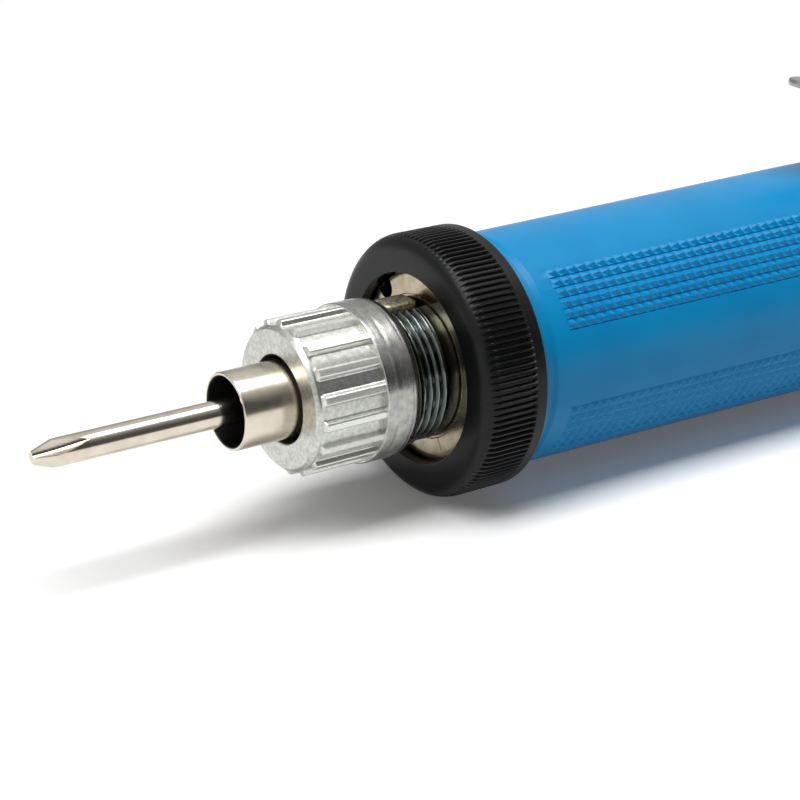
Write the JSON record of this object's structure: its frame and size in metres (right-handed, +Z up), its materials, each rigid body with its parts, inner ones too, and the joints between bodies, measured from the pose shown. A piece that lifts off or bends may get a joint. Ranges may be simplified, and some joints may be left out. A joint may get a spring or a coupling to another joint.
{
  "type": "electric screwdriver",
  "caption": "In-line lever-start electric screwdriver with a ribbed torque nut, quick-release bit chuck, knurled coupling ring, ribbed blue handle and hanging bail.",
  "frame": {"origin": "middle of the length, on the bench under the tool's axis", "axes": "+X along the tool from the bit to the tail, +Z up from the bench, -Y the side with the rocker"},
  "size_m": [0.2488, 0.0458, 0.0536],
  "materials": {
    "bit_steel": "ground hardened steel",
    "champagne_nickel": "warm satin nickel plate",
    "zinc_casting": "turned die-cast zinc",
    "dark_steel": "oiled dark steel",
    "blue_abs": "satin moulded ABS",
    "black_nylon": "satin moulded nylon",
    "lever_steel": "pressed stainless steel",
    "spring_steel": "drawn wire",
    "bearing_bronze": "sintered bronze",
    "gear_steel": "cut steel",
    "motor_steel": "zinc plated sheet",
    "ferrite": "pressed ferrite",
    "laminated_steel": "stacked laminations",
    "copper": "copper",
    "carbon": "pressed carbon",
    "cream_moulding": "moulded plastic",
    "board_green": "glass laminate",
    "rocker_red": "gloss moulded plastic",
    "brass_pin": "turned brass"
  },
  "bodies": {
    "body": {"ball_cage": "zinc_casting", "board_components": "cream_moulding", "board_screws": "lever_steel", "bracket_screws": "lever_steel", "brushes": "carbon", "cap_screws": "lever_steel", "chassis": "cream_moulding", "circuit_board": "board_green", "clutch_balls": "bit_steel", "clutch_plate": "gear_steel", "clutch_ring_gear": "gear_steel", "coupling_ring": "black_nylon", "drive_screws": "lever_steel", "end_bell": "black_nylon", "fixed_ring_gear": "gear_steel", "handle": "blue_abs", "inlet_insert": "black_nylon", "inlet_nut": "champagne_nickel", "inlet_pins": "brass_pin", "inlet_shell": "champagne_nickel", "lever_bracket": "lever_steel", "lever_pin": "lever_steel", "magnets": "ferrite", "motor_bushes": "bearing_bronze", "motor_can": "motor_steel", "motor_plate": "zinc_casting", "nose_housing": "dark_steel", "plunger_spring": "spring_steel", "rear_cap": "black_nylon", "rocker_housing": "black_nylon", "spindle_bushes": "bearing_bronze", "start_switch": "black_nylon", "terminals": "brass_pin", "torque_spring": "spring_steel"},
    "spindle": {"spindle": "gear_steel", "bit": "bit_steel", "lock_balls": "bit_steel", "snap_ring": "spring_steel", "output_pins": "gear_steel", "sleeve_spring": "spring_steel"},
    "sleeve": {"chuck_sleeve": "champagne_nickel"},
    "thrust_washer": {"thrust_washer": "champagne_nickel"},
    "torque_nut": {"torque_nut": "zinc_casting"},
    "input_carrier": {"input_carrier": "gear_steel", "input_pins": "gear_steel"},
    "rotor": {"motor_shaft": "bit_steel", "motor_pinion": "brass_pin", "armature_core": "laminated_steel", "windings": "copper", "commutator": "copper"},
    "start_lever": {"start_lever": "lever_steel"},
    "start_plunger": {"start_plunger": "black_nylon"},
    "rocker": {"rocker": "rocker_red"},
    "bail": {"bail": "lever_steel"},
    "output_planet_1": {"output_planet_1": "gear_steel"},
    "input_planet_1": {"input_planet_1": "gear_steel"},
    "output_planet_2": {"output_planet_2": "gear_steel"},
    "input_planet_2": {"input_planet_2": "gear_steel"},
    "output_planet_3": {"output_planet_3": "gear_steel"},
    "input_planet_3": {"input_planet_3": "gear_steel"}
  },
  "joints": [
    {"name": "spindle_spin", "type": "hinge", "parent": "body", "child": "spindle", "pos_m": [-0.06338, 0, 0.02], "axis": [1, 0, 0], "continuous": true},
    {"name": "sleeve_pull", "type": "slide", "parent": "spindle", "child": "sleeve", "axis": [1, 0, 0], "range_m": [0, 0.003], "stiffness_N_per_m": 700, "springref_m": -0.004, "deforming": ["sleeve_spring"]},
    {"name": "input_carrier_spin", "type": "hinge", "parent": "body", "child": "input_carrier", "pos_m": [-0.06338, 0, 0.02], "axis": [1, 0, 0], "continuous": true},
    {"name": "rotor_spin", "type": "hinge", "parent": "body", "child": "rotor", "pos_m": [-0.06338, 0, 0.02], "axis": [1, 0, 0], "continuous": true},
    {"name": "torque_travel", "type": "slide", "parent": "body", "child": "thrust_washer", "axis": [1, 0, 0], "range_m": [-0.00125, 0.0012], "deforming": ["torque_spring"]},
    {"name": "torque_turn", "type": "hinge", "parent": "thrust_washer", "child": "torque_nut", "pos_m": [-0.06338, 0, 0.02], "axis": [1, 0, 0], "range_deg": [-361, 346.6]},
    {"name": "lever_press", "type": "hinge", "parent": "body", "child": "start_lever", "pos_m": [0.07462, 0, 0.0425], "axis": [0, -1, 0], "range_deg": [0, 8], "stiffness_Nm_per_rad": 0.6, "springref_deg": -8.59},
    {"name": "plunger_press", "type": "slide", "parent": "body", "child": "start_plunger", "axis": [0, 0, -1], "range_m": [0, 0.00197], "deforming": ["plunger_spring"]},
    {"name": "rocker_tilt", "type": "hinge", "parent": "body", "child": "rocker", "pos_m": [0.07062, -0.0158, 0.02], "axis": [0, 0, 1], "range_deg": [-8, 8]},
    {"name": "bail_swing", "type": "hinge", "parent": "body", "child": "bail", "pos_m": [0.09462, 0, 0.02], "axis": [0, -1, 0], "range_deg": [-67.1, 132.9]},
    {"name": "output_planet_1_spin", "type": "hinge", "parent": "spindle", "child": "output_planet_1", "pos_m": [-0.06338, -0.0072, 0.02], "axis": [1, 0, 0], "continuous": true},
    {"name": "input_planet_1_spin", "type": "hinge", "parent": "input_carrier", "child": "input_planet_1", "pos_m": [-0.06338, -0.0072, 0.02], "axis": [1, 0, 0], "continuous": true},
    {"name": "output_planet_2_spin", "type": "hinge", "parent": "spindle", "child": "output_planet_2", "pos_m": [-0.06338, 0.0036, 0.02624], "axis": [1, 0, 0], "continuous": true},
    {"name": "input_planet_2_spin", "type": "hinge", "parent": "input_carrier", "child": "input_planet_2", "pos_m": [-0.06338, 0.0036, 0.02624], "axis": [1, 0, 0], "continuous": true},
    {"name": "output_planet_3_spin", "type": "hinge", "parent": "spindle", "child": "output_planet_3", "pos_m": [-0.06338, 0.0036, 0.01376], "axis": [1, 0, 0], "continuous": true},
    {"name": "input_planet_3_spin", "type": "hinge", "parent": "input_carrier", "child": "input_planet_3", "pos_m": [-0.06338, 0.0036, 0.01376], "axis": [1, 0, 0], "continuous": true}
  ],
  "couplings": [
    {"joint": "input_carrier_spin", "follows": "rotor_spin", "ratio": 0.25},
    {"joint": "spindle_spin", "follows": "rotor_spin", "ratio": 0.0625},
    {"joint": "torque_turn", "follows": "torque_travel", "rad_per_m": 5026.5},
    {"joint": "plunger_press", "follows": "lever_press", "m_per_rad": 0.014101},
    {"joint": "output_planet_1_spin", "follows": "rotor_spin", "ratio": -0.1875},
    {"joint": "input_planet_1_spin", "follows": "rotor_spin", "ratio": -0.75},
    {"joint": "output_planet_2_spin", "follows": "rotor_spin", "ratio": -0.1875},
    {"joint": "input_planet_2_spin", "follows": "rotor_spin", "ratio": -0.75},
    {"joint": "output_planet_3_spin", "follows": "rotor_spin", "ratio": -0.1875},
    {"joint": "input_planet_3_spin", "follows": "rotor_spin", "ratio": -0.75}
  ]
}
